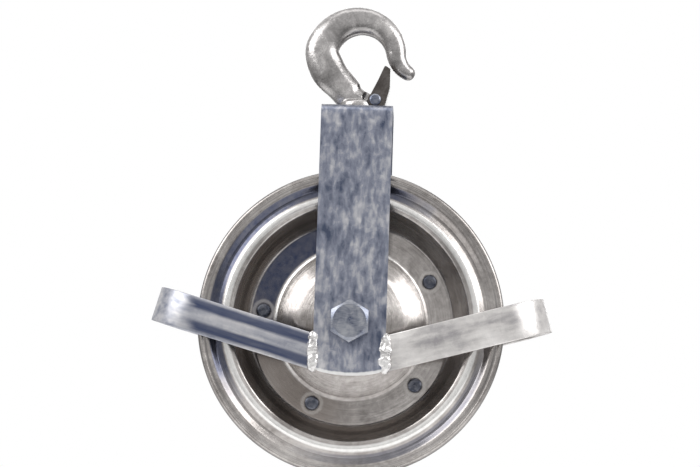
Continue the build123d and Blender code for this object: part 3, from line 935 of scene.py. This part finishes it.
@dataclass
class Wheel:
    """The grooved wheel of two pressed halves, with its rivets, hub and bushes."""

    rim_r: float = 100.0 * MM
    sheet: float = 2.0 * MM
    hub_r: float = 14.02 * MM
    dome_top_r: float = 20.0 * MM
    dome_y: float = 17.0 * MM
    knee_share: float = 0.55
    knee_height: float = 0.72
    web_in_r: float = 50.0 * MM
    web_out_r: float = 66.5 * MM
    wall_r: float = 77.5 * MM
    crest_r: float = 82.0 * MM
    crest_y: float = 15.0 * MM
    crest_fall: float = 1.5 * MM
    valley_r: float = 88.5 * MM
    valley_dip: float = 2.4 * MM
    crown_r: float = 94.2 * MM
    rim_y: float = 16.6 * MM
    rim_fall: float = 2.0 * MM
    bead_r: float = 2.2 * MM
    bead_gap: float = 0.15 * MM
    bead_steps: int = 28
    rounds_mm: tuple[float, ...] = (3.0, 15.0, 5.0, 4.0, 3.0, 5.0, 3.0, 5.0)
    segments: int = 288

    def profile(self) -> list[Pair]:
        """Draw one half's closed section.

        Returns:
            Its points, as radius and distance from the middle plane.
        """
        bead_centre = self.rim_r - self.bead_r
        knee = self.dome_top_r + (self.web_in_r - self.dome_top_r) * self.knee_share
        corners = [(self.hub_r, self.dome_y), (self.dome_top_r, self.dome_y),
                   (knee, self.dome_y * self.knee_height),
                   (self.web_in_r, self.sheet), (self.web_out_r, self.sheet),
                   (self.wall_r, self.crest_y - self.crest_fall), (self.crest_r, self.crest_y),
                   (self.valley_r, self.crest_y - self.valley_dip), (self.crown_r, self.rim_y),
                   (bead_centre, self.rim_y - self.rim_fall)]
        outer = rounded_path(corners, [radius * MM for radius in self.rounds_mm])
        inner = offset_path(outer, self.sheet)
        bead_y = self.rim_y - self.rim_fall - self.sheet / 2
        lean = atan2(self.rim_fall, bead_centre - self.crown_r)
        meet = pi - asin(self.sheet / 2 / self.bead_r)
        bead = []
        for turn in spread(meet - lean, -meet - lean, self.bead_steps):
            out, up = polar(self.bead_r, turn)
            bead.append((bead_centre + out, bead_y + up))

        def short_of_bead(path: list[Pair]) -> list[Pair]:
            """Return what of a line lies outside the bead."""
            clear = self.bead_r + self.bead_gap
            return [(r, y) for r, y in path if hypot(r - bead_centre, y - bead_y) > clear]

        return short_of_bead(outer) + bead + short_of_bead(inner)[::-1]

    def half(self, side: int) -> None:
        """Build one half as a turned shell.

        Args:
            side: -1 for the front half, 1 for the rear one.
        """
        end = "front" if side < 0 else "rear"
        name = f"wheel_shell_{end}"
        section = self.profile()
        points = []
        for angle in turns(self.segments):
            for radius, out in section:
                x, z = polar(radius, angle)
                points.append((x, side * out, AXLE_Z + z))
        faces = [face[::side] for face in tube_faces(self.segments, len(section), closed=True)]
        piece = show_mesh(name, plain_mesh(name, points, faces), Finishes.WHEEL, "wheel", 50.0)
        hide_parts(f"wheel_half_{end}")

    def build(self) -> None:
        """Build the halves and dress the rest."""
        self.half(-1)
        self.half(1)
        dress(Finishes.RIVET, "web_rivets")
        dress(Finishes.FASTENER, "hub_tube")
        dress(Finishes.BRONZE, "bush_front", "bush_rear")


@dataclass(frozen=True)
class Station:
    """One section of the hook's bar: its middle, its heading in degrees, its width and depth."""

    x: float
    z: float
    heading: float
    width: float
    depth: float

    def ring(self, count: int, power: float) -> list[Point]:
        """Draw the section's outline, a flattened ellipse square to the heading.

        Args:
            count: How many points it has.
            power: 2 for an ellipse, more for flatter sides.

        Returns:
            The points.
        """
        over, up = polar(1.0, radians(self.heading))
        points = []
        for turn in turns(count):
            out, side = (copysign(abs(part) ** (2 / power), part) for part in polar(1.0, turn))
            reach = out * self.width / 2
            points.append((self.x - reach * up, side * self.depth / 2, self.z + reach * over))
        return points

    def moved(self, by: float, size: float = 1.0) -> "Station":
        """Move this section along its heading and scale it.

        Args:
            by: How far it is moved.
            size: How much it is scaled.

        Returns:
            The new section.
        """
        over, up = polar(by, radians(self.heading))
        return Station(self.x + over, self.z + up, self.heading,
                       self.width * size, self.depth * size)

    def blend(self, other: "Station", count: int) -> list["Station"]:
        """Return the sections of a smooth bend from here to another section.

        Args:
            other: The section where the bend ends.
            count: How many sections are made.

        Returns:
            The sections, without this one.
        """
        chord = Vector((other.x - self.x, other.z - self.z))
        starts, ends = (Vector(polar(1.0, radians(end.heading))) * chord.length
                        for end in (self, other))
        bend = []
        for share in spread(0.0, 1.0, count)[1:]:
            rest = 1 - share
            rise = share * share * (3 - 2 * share)
            at = chord * rise + starts * (share * rest ** 2) - ends * (share * share * rest)
            way = (chord * (6 * share * rest) + starts * (rest * (1 - 3 * share))
                   + ends * (share * (3 * share - 2)))
            bend.append(Station(self.x + at.x, self.z + at.y, degrees(atan2(way.y, way.x)),
                                *part_way((self.width, self.depth), (other.width, other.depth),
                                          rise)))
        return bend


@dataclass
class Hook:
    """The forged hook: its bar is swept afresh and blended into the solid's boss and shank."""

    bowl_r: float = 16.0 * MM
    bowl_x: float = 1.5 * MM
    bowl_start: float = 8.0
    bowl_end: float = 165.0
    bowl_steps: int = 32
    arm: Pair = (13.7 * MM, 12.5 * MM)
    back: Pair = (22.8 * MM, 17.0 * MM)
    tip: Pair = (10.0 * MM, 9.5 * MM)
    tip_reach: float = 15.0 * MM
    tip_flare: float = 52.0
    tip_turns: tuple[int, ...] = (86, 72, 58, 44, 30, 15)
    heel: Station = Station(-21.3 * MM, -23.5 * MM, 297.0, 24.2 * MM, 17.0 * MM)
    neck: Station = Station(-10.4 * MM, -36.0 * MM, 313.0, 21.4 * MM, 17.0 * MM)
    bend_steps: int = 8
    neck_run: float = 6.0 * MM
    overlap: float = 0.6 * MM
    lug_x: float = 18.5 * MM
    boss_z: float = -43.5 * MM
    foot_z: float = -50.2 * MM
    shank_r: float = 8.0 * MM
    ring_points: int = 48
    flatness: float = 2.3
    weld_distance: float = 0.002 * MM
    voxel: float = 0.65 * MM
    fair_r: float = 6.5 * MM
    fair_rounds: int = 40
    smooth_rounds: int = 4

    def bowl(self, share: float) -> Station:
        """Return a section of the bowl.

        Args:
            share: Its place, from 0 at the tip to 1 at the heel.

        Returns:
            The section.
        """
        angle = self.bowl_start + (self.bowl_end - self.bowl_start) * share
        width, depth = part_way(self.arm, self.back, share)
        over, up = polar(self.bowl_r + width / 2, radians(angle))
        return Station(self.bowl_x + over, up - self.bowl_r, angle + 90, width, depth)

    def flare(self, share: float) -> Station:
        """Return a section of the flared tip.

        Args:
            share: Its place, from 0 at the bowl to 1 at the end.

        Returns:
            The section.
        """
        start = self.bowl(0.0)
        first = radians(self.bowl_start - 90)
        heading = first + radians(self.tip_flare) * share
        bend_r = self.tip_reach / radians(self.tip_flare)
        width, depth = part_way(self.arm, self.tip, share)
        return Station(start.x + bend_r * (sin(heading) - sin(first)),
                       start.z + bend_r * (cos(first) - cos(heading)),
                       degrees(heading) + 180, width, depth)

    def bar(self, work: BMesh) -> None:
        """Sweep the bar from its round tip to the neck.

        Args:
            work: The mesh that it is added to.
        """
        end = self.flare(1.0)
        line = []
        for turn in self.tip_turns:
            size, reach = polar(1.0, radians(turn))
            line.append(end.moved(-end.width / 2 * reach, size))
        line += [self.flare(share) for share in spread(1.0, 0.0, self.bend_steps)[:-1]]
        line += [self.bowl(share) for share in spread(0.0, 1.0, self.bowl_steps)]
        line += line[-1].blend(self.heel, self.bend_steps)
        line += self.heel.blend(self.neck, self.bend_steps)
        line.append(self.neck.moved(self.neck_run + self.overlap))
        loft(work, [station.ring(self.ring_points, self.flatness) for station in line])

    def foot(self, work: BMesh, cuts: Sequence[tuple[Point, Point]]) -> None:
        """Add the part of the solid that lies behind the cuts, closed again.

        Args:
            work: The mesh that it is added to.
            cuts: A point and an outward direction for each cut; what lies outward goes.
        """
        part = bmesh.new()
        part.from_mesh(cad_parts["hook"].data)
        bmesh.ops.remove_doubles(part, verts=part.verts[:], dist=self.weld_distance)
        for place, way in cuts:
            cut(part, place, way, clear=True)
            bmesh.ops.holes_fill(part, edges=[edge for edge in part.edges if edge.is_boundary])
        mesh = mesh_of(part, "hook_foot")
        work.from_mesh(mesh)
        bpy.data.meshes.remove(mesh)

    def fair(self, work: BMesh, seam: Vector) -> None:
        """Smooth the skin well at the seam, and lightly all over.

        Args:
            work: The skin.
            seam: Where the seam is, inside the neck.
        """
        near = [vertex for vertex in work.verts
                if hypot(vertex.co.x - seam.x, vertex.co.z - seam.z) < self.fair_r]
        for vertices, rounds in ((near, self.fair_rounds), (work.verts[:], self.smooth_rounds)):
            for _ in range(rounds):
                bmesh.ops.smooth_vert(work, verts=vertices, factor=0.5, use_axis_x=True,
                                      use_axis_y=True, use_axis_z=True)

    def square_foot(self, work: BMesh) -> None:
        """Make the foot of the boss flat and the shank below it straight.

        Args:
            work: The skin.
        """
        for vertex in work.verts:
            reach = hypot(vertex.co.x, vertex.co.y)
            if vertex.co.z < self.foot_z and reach > self.shank_r:
                if reach - self.shank_r > self.foot_z - vertex.co.z:
                    vertex.co.z = self.foot_z
                else:
                    vertex.co.x *= self.shank_r / reach
                    vertex.co.y *= self.shank_r / reach

    def forging(self) -> Mesh:
        """Join the bar and the foot into one smooth skin.

        Returns:
            The skin.
        """
        end = self.neck.moved(self.neck_run)
        over, up = polar(1.0, radians(end.heading))
        work = bmesh.new()
        self.bar(work)
        self.foot(work, [((end.x, 0.0, end.z), (-over, 0.0, -up)),
                         ((self.lug_x, 0.0, 0.0), (1.0, 0.0, 0.0))])
        self.foot(work, [((0.0, 0.0, self.boss_z), (0.0, 0.0, 1.0))])
        raw = placed("hook_raw", mesh_of(work, "hook_raw"))
        skin = raw.modifiers.new("skin", "REMESH")
        skin.mode = "VOXEL"
        skin.voxel_size = self.voxel
        joined = applied(raw)
        work = bmesh.new()
        work.from_mesh(joined)
        side = end.width / 2
        self.fair(work, Vector((end.x - side * up, 0.0, end.z + side * over)))
        self.square_foot(work)
        work.to_mesh(joined)
        work.free()
        return joined

    def build(self) -> None:
        """Build the forging and dress its fasteners."""
        piece = show_mesh("hook_forging", self.forging(), Finishes.HOOK, "hook", 60.0)
        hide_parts("hook")
        dress(Finishes.FASTENER, "swivel_washer", "swivel_nut", "cotter_pin", "latch_pin")


@dataclass
class Latch:
    """The sheet-metal latch and its spring."""

    sheet: Finishes = Finishes.LATCH
    wire: Finishes = Finishes.SPRING

    def build(self) -> None:
        """Dress the latch and its spring."""
        dress(self.sheet, "latch")
        dress(self.wire, "latch_spring")


@dataclass
class Yoke:
    """The folded bar that carries the axle, with the axle's fasteners."""

    thickness: float = 5.0 * MM
    edge: float = 0.8 * MM
    bend_r: float = 2.5 * MM
    bend_steps: int = 10
    swivel_r: float = 9.0 * MM
    axle_r: float = 8.02 * MM
    corner_r: float = 5.0 * MM
    foot_share: float = 0.7
    foot_steps: int = 20

    def foot(self, half: float) -> list[Pair]:
        """Draw a leg's shallow round end.

        Args:
            half: Half of the leg's width.

        Returns:
            Its points from side to side, as along and across.
        """
        inner = half * self.foot_share
        arc = [(FOOT_ARC_R - sqrt(FOOT_ARC_R ** 2 - v ** 2), v)
               for v in spread(-inner, inner, self.foot_steps)]
        corners = [(half, -half), (FOOT_RISE, -half), *arc, (FOOT_RISE, half), (half, half)]
        return rounded_path(corners, [self.corner_r] + [0] * len(arc) + [self.corner_r])

    def bar(self) -> Mesh:
        """Fold the bar over the wheel.

        Returns:
            Its mesh.
        """
        low, high = YOKE_LOW, YOKE_HIGH
        turn_r = self.bend_r + self.thickness / 2
        leg = high[2] - low[2] - self.bend_r - self.thickness
        bridge = 2 * (high[1] - self.bend_r - self.thickness)
        arc = turn_r * pi / 2
        total = 2 * leg + 2 * arc + bridge
        fold_z = high[2] - self.bend_r - self.thickness
        fold_y = bridge / 2
        front = self.foot(high[0])
        outline = front + [(total - u, v) for u, v in front[::-1]]
        folds = [*spread(leg, leg + arc, self.bend_steps),
                 *spread(total - leg - arc, total - leg, self.bend_steps), total / 2]

        def bend(u: float, v: float, w: float) -> Point:
            """Fold a point of the flat bar.

            Args:
                u: Its place along the bar.
                v: Its place across the bar.
                w: Its height over the bar's middle.

            Returns:
                The folded point.
            """
            if u > total / 2:
                x, y, z = bend(total - u, v, w)
                return x, -y, z
            if u < leg:
                return v, -fold_y - turn_r - w, low[2] + u
            if u < leg + arc:
                out, up = polar(turn_r + w, (u - leg) / turn_r)
                return v, -fold_y - out, fold_z + up
            return v, -fold_y + u - leg - arc, fold_z + turn_r + w

        return FlatBar(outline, self.thickness, self.edge, folds).mesh("yoke_bar", bend)

    def build(self) -> None:
        """Fold and drill the bar, and dress the fasteners."""
        top = Vector((0.0, 0.0, YOKE_HIGH[2]))
        bar = drilled(self.bar(), top, self.swivel_r, 4 * self.thickness, Matrix.Identity(4))
        turn = Matrix.Rotation(pi / 2, 4, "X")
        for side in (-1, 1):
            leg = Vector((0.0, side * (YOKE_HIGH[1] - self.thickness / 2), AXLE_Z))
            bar = drilled(bar, leg, self.axle_r, 2 * self.thickness, turn)
        piece = show_mesh("yoke_bar", bar, Finishes.YOKE, "yoke", 50.0)
        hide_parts("yoke")
        dress(Finishes.FASTENER, "axle_bolt", "axle_washer", "lock_washer", "axle_nut",
              "thrust_washer_front", "thrust_washer_rear")


@dataclass
class WeldBead:
    """One weld of a guard to a leg, where side is -1 at the left and face is -1 at the front."""

    side: int
    face: int
    leg_in: float = 23.0 * MM
    guard_thickness: float = 4.0 * MM
    root_gap: float = 1.6 * MM
    reach: float = 4.0 * MM
    height: float = 2.3 * MM
    steps: int = 120
    ring_points: int = 36
    base: float = 0.96
    ripples: int = 8
    ripple_bow: float = 0.42
    ripple_lean: float = 0.07
    ripple_depth: float = 0.022
    wobble: float = 0.34
    lumps: float = 0.05

    def size(self, x: float, y: float, share: float) -> float:
        """Return how far the bead reaches in one direction: ripples, wobbles and lumps.

        Args:
            x: The direction's part across the joint, from -1 to 1.
            y: The direction's part out of the joint, from -1 to 1.
            share: The place along the bead, from 0 at its foot to 1.

        Returns:
            A share of the bead's full reach.
        """
        bow = self.ripple_bow * x * x + self.ripple_lean * x * self.side
        ripple = cos(2 * pi * (self.ripples * share + bow))
        slow = Vector((x * 0.9 + self.side * 3, y + self.face * 5, share * 6))
        fast = Vector((x * 2.5, y * 2.5 + self.face * 3, share * 26 + self.side * 7))
        end = sqrt(max(0.0, 1 - (2 * share - 1) ** 4))
        return end * (self.base + self.ripple_depth * ripple + self.wobble * noise.noise(slow)
                      + self.lumps * noise.noise(fast))

    def build(self) -> None:
        """Lay the bead down the joint, in crescents that are uneven in width and height."""
        name = f"{'front' if self.face < 0 else 'rear'}_{'right' if self.side > 0 else 'left'}"
        low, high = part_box(f"weld_{name}")
        middle = Vector((self.side * (GUARD_ROOT_X - self.root_gap / 2),
                         self.face * (self.leg_in + self.guard_thickness), 0))
        points = []
        for share in spread(0.0, 1.0, self.steps):
            z = low[2] + (high[2] - low[2]) * share
            for turn in turns(self.ring_points):
                x, y = polar(1.0, turn)
                size = self.size(x, y, share)
                points.append((middle.x + self.reach * x * size,
                               middle.y + self.height * y * size, z))
        faces = tube_faces(self.steps + 1, self.ring_points)
        mesh = plain_mesh(f"weld_bead_{name}", points, faces)
        piece = show_mesh(f"weld_bead_{name}", mesh, Finishes.WELD, "yoke", 80.0)
        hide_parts(f"weld_{name}")


@dataclass
class RopeGuards:
    """The two flat bars that run round the rim, and the welds that hold them to the legs."""

    width: float = 23.0 * MM
    thickness: float = 4.0 * MM
    edge: float = 0.7 * MM
    leg_in: float = 23.0 * MM
    bend_steps: int = 56

    def guard(self, side: int) -> None:
        """Bend one guard: a straight run, a half circle round the rim, and a run back.

        Args:
            side: -1 for the left guard, 1 for the right one.
        """
        name = "right" if side > 0 else "left"
        low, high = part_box(f"rope_guard_{name}")
        half = self.width / 2
        skew = half * RISE_SIN / RISE_COS
        outer_x = max(abs(low[0]), abs(high[0])) - half * RISE_SIN
        turn_r = self.leg_in + self.thickness / 2
        run = (outer_x - GUARD_ROOT_X) / RISE_COS - self.leg_in - self.thickness
        arc = turn_r * pi
        total = 2 * run + arc
        outline = [(-skew, -half), (total + skew, -half), (total - skew, half), (skew, half)]
        way = Vector((side * RISE_COS, 0, RISE_SIN))
        across = Vector((-side * RISE_SIN, 0, RISE_COS))
        root = Vector((side * GUARD_ROOT_X, 0, AXLE_Z - GUARD_ROOT_DROP))

        def bend(u: float, v: float, w: float) -> Point:
            """Bend a point of the flat bar.

            Args:
                u: Its place along the bar.
                v: Its place across the bar.
                w: Its height over the bar's middle.

            Returns:
                The bent point.
            """
            if u < run:
                s, y = u, -turn_r - w
            elif u < run + arc:
                back, out = polar(turn_r + w, (u - run) / turn_r)
                s, y = run + out, -back
            else:
                s, y = total - u, turn_r + w
            return tuple(root + way * s + across * v + Vector((0, y, 0)))

        folds = spread(run, run + arc, self.bend_steps)
        mesh = FlatBar(outline, self.thickness, self.edge, folds).mesh(f"guard_bar_{name}", bend)
        finish = Finishes.GUARD_RIGHT if side > 0 else Finishes.GUARD_LEFT
        piece = show_mesh(f"guard_bar_{name}", mesh, finish, "yoke", 50.0)
        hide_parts(f"rope_guard_{name}")

    def build(self) -> None:
        """Build both guards and their four welds."""
        for side in (-1, 1):
            self.guard(side)
            for face in (-1, 1):
                WeldBead(side, face).build()


@dataclass(frozen=True)
class Lamp:
    """One soft area lamp."""

    name: str
    place: Point
    size: Pair
    power: float

    def build(self, target: Vector) -> None:
        """Add the lamp.

        Args:
            target: Where it is aimed.
        """
        light = bpy.data.lights.new(self.name, "AREA")
        light.shape = "RECTANGLE"
        light.size, light.size_y = self.size
        light.energy = self.power
        lamp = placed(self.name, light)
        lamp.location = self.place
        lamp.rotation_euler = (target - Vector(self.place)).to_track_quat("-Z", "Y").to_euler()
        lamp.visible_camera = False


@dataclass
class Studio:
    """The pale floor, the soft lamps and the white surroundings."""

    floor_drop: float = 20.0 * MM
    floor_r: float = 0.62
    floor_steps: int = 96
    floor_grey: float = 0.92
    fade_from: float = 0.2
    fade_share: float = 0.97
    sky: Pair = (-0.55, 0.35)
    sky_glow: float = 0.62
    ground_glow: float = 0.2
    lamps: list[Lamp] = field(default_factory=lambda: [
        Lamp("lamp left", (-0.95, -0.6, 0.45), (1.0, 0.8), 8.5),
        Lamp("lamp right", (0.95, -0.6, 0.4), (1.0, 0.8), 8.5),
        Lamp("lamp above", (0.0, -0.2, 1.2), (1.2, 0.6), 3.0),
        Lamp("lamp behind", (0.1, 1.3, 0.3), (1.4, 0.9), 7.0),
    ])

    def floor(self) -> None:
        """Lay a round pale floor whose edge fades into the white surroundings."""
        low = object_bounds()[0][2] - self.floor_drop
        steps = self.floor_steps
        points = [(0.0, 0.0, low)]
        points += [(*polar(self.floor_r, angle), low) for angle in turns(steps)]
        faces = [(0, index + 1, (index + 1) % steps + 1) for index in range(steps)]
        mesh = plain_mesh("floor", points, faces)
        material = bpy.data.materials.new("pale floor")
        graph = Graph(material)
        flat = graph.node("ShaderNodeTexCoord", output="Object") * (1.0, 1.0, 0.0)
        fade = 1 - flat.length().between(self.fade_from, self.floor_r * self.fade_share)
        grey = self.floor_grey
        graph.surface(base_color=(grey, grey, grey, 1.0), roughness=0.9, alpha=fade)
        mesh.materials.append(material)
        floor = placed("floor", mesh)
        floor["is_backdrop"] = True

    def surroundings(self) -> None:
        """Make the world white to the camera, and soft grey to the object, brighter above."""
        world = bpy.data.worlds.new("white room")
        bpy.context.scene.world = world
        graph = Graph(world)
        _, _, up = graph.split(graph.node("ShaderNodeTexCoord", output="Generated"))
        grey = up.between(*self.sky) * self.sky_glow + self.ground_glow
        seen = graph.node("ShaderNodeLightPath", output="Is Camera Ray")
        soft = graph.node("ShaderNodeBackground", None, {0: WHITE, 1: grey})
        white = graph.node("ShaderNodeBackground", None, {0: WHITE, 1: 1.0})
        both = graph.node("ShaderNodeMixShader", None, {0: seen, 1: soft, 2: white})
        graph.node("ShaderNodeOutputWorld", None, {0: both})

    def build(self) -> None:
        """Build the floor, the lamps and the surroundings."""
        self.floor()
        low, high = (Vector(corner) for corner in cad_box)
        for lamp in self.lamps:
            lamp.build((low + high) / 2)
        self.surroundings()
        bpy.context.scene.view_settings.view_transform = "Standard"


@dataclass
class Viewpoint:
    """The photograph's camera: almost in front, a little low, with the pulley leaning right."""

    azimuth: float = 2.0
    elevation: float = -5.5
    lean: float = 1.9
    distance: float = 1.3
    pixels_per_mm: float = 1.52
    wheel_px: Pair = (351.3, 323.5)
    sensor: float = 36.0
    clip_start: float = 0.01

    def build(self) -> None:
        """Add the camera so that the wheel falls where the photograph has it."""
        data = bpy.data.cameras.new("camera")
        data.sensor_width = self.sensor
        data.lens = self.sensor * self.distance / (PHOTO_WIDTH / self.pixels_per_mm * MM)
        data.clip_start = self.clip_start
        over, back = polar(1.0, radians(self.azimuth))
        level, rise = polar(1.0, radians(self.elevation))
        away = Vector((back * level, -over * level, rise))
        right = Vector((over, back, 0.0))
        up = right.cross(away) * -1
        main, lean = polar(1.0, radians(self.lean))
        right, up = right * main + up * lean, up * main - right * lean
        across = (self.wheel_px[0] - PHOTO_WIDTH / 2) / self.pixels_per_mm * MM
        down = (self.wheel_px[1] - PHOTO_HEIGHT / 2) / self.pixels_per_mm * MM
        target = Vector((0.0, 0.0, AXLE_Z)) - right * across + up * down
        rotation = Matrix((right, up, away)).transposed().to_4x4()
        camera = placed("camera", data)
        camera.matrix_world = Matrix.Translation(target + away * self.distance) @ rotation
        bpy.context.scene.camera = camera


def main() -> None:
    """Build and dress the pulley, then the studio and the camera."""
    logging.basicConfig(level=logging.INFO, format="%(name)s: %(message)s")
    for part in (Wheel(), Hook(), Latch(), Yoke(), RopeGuards(), Studio(), Viewpoint()):
        part.build()
        LOG.info("%s is done", type(part).__name__)
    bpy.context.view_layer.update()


if __name__ == "__main__":
    main()
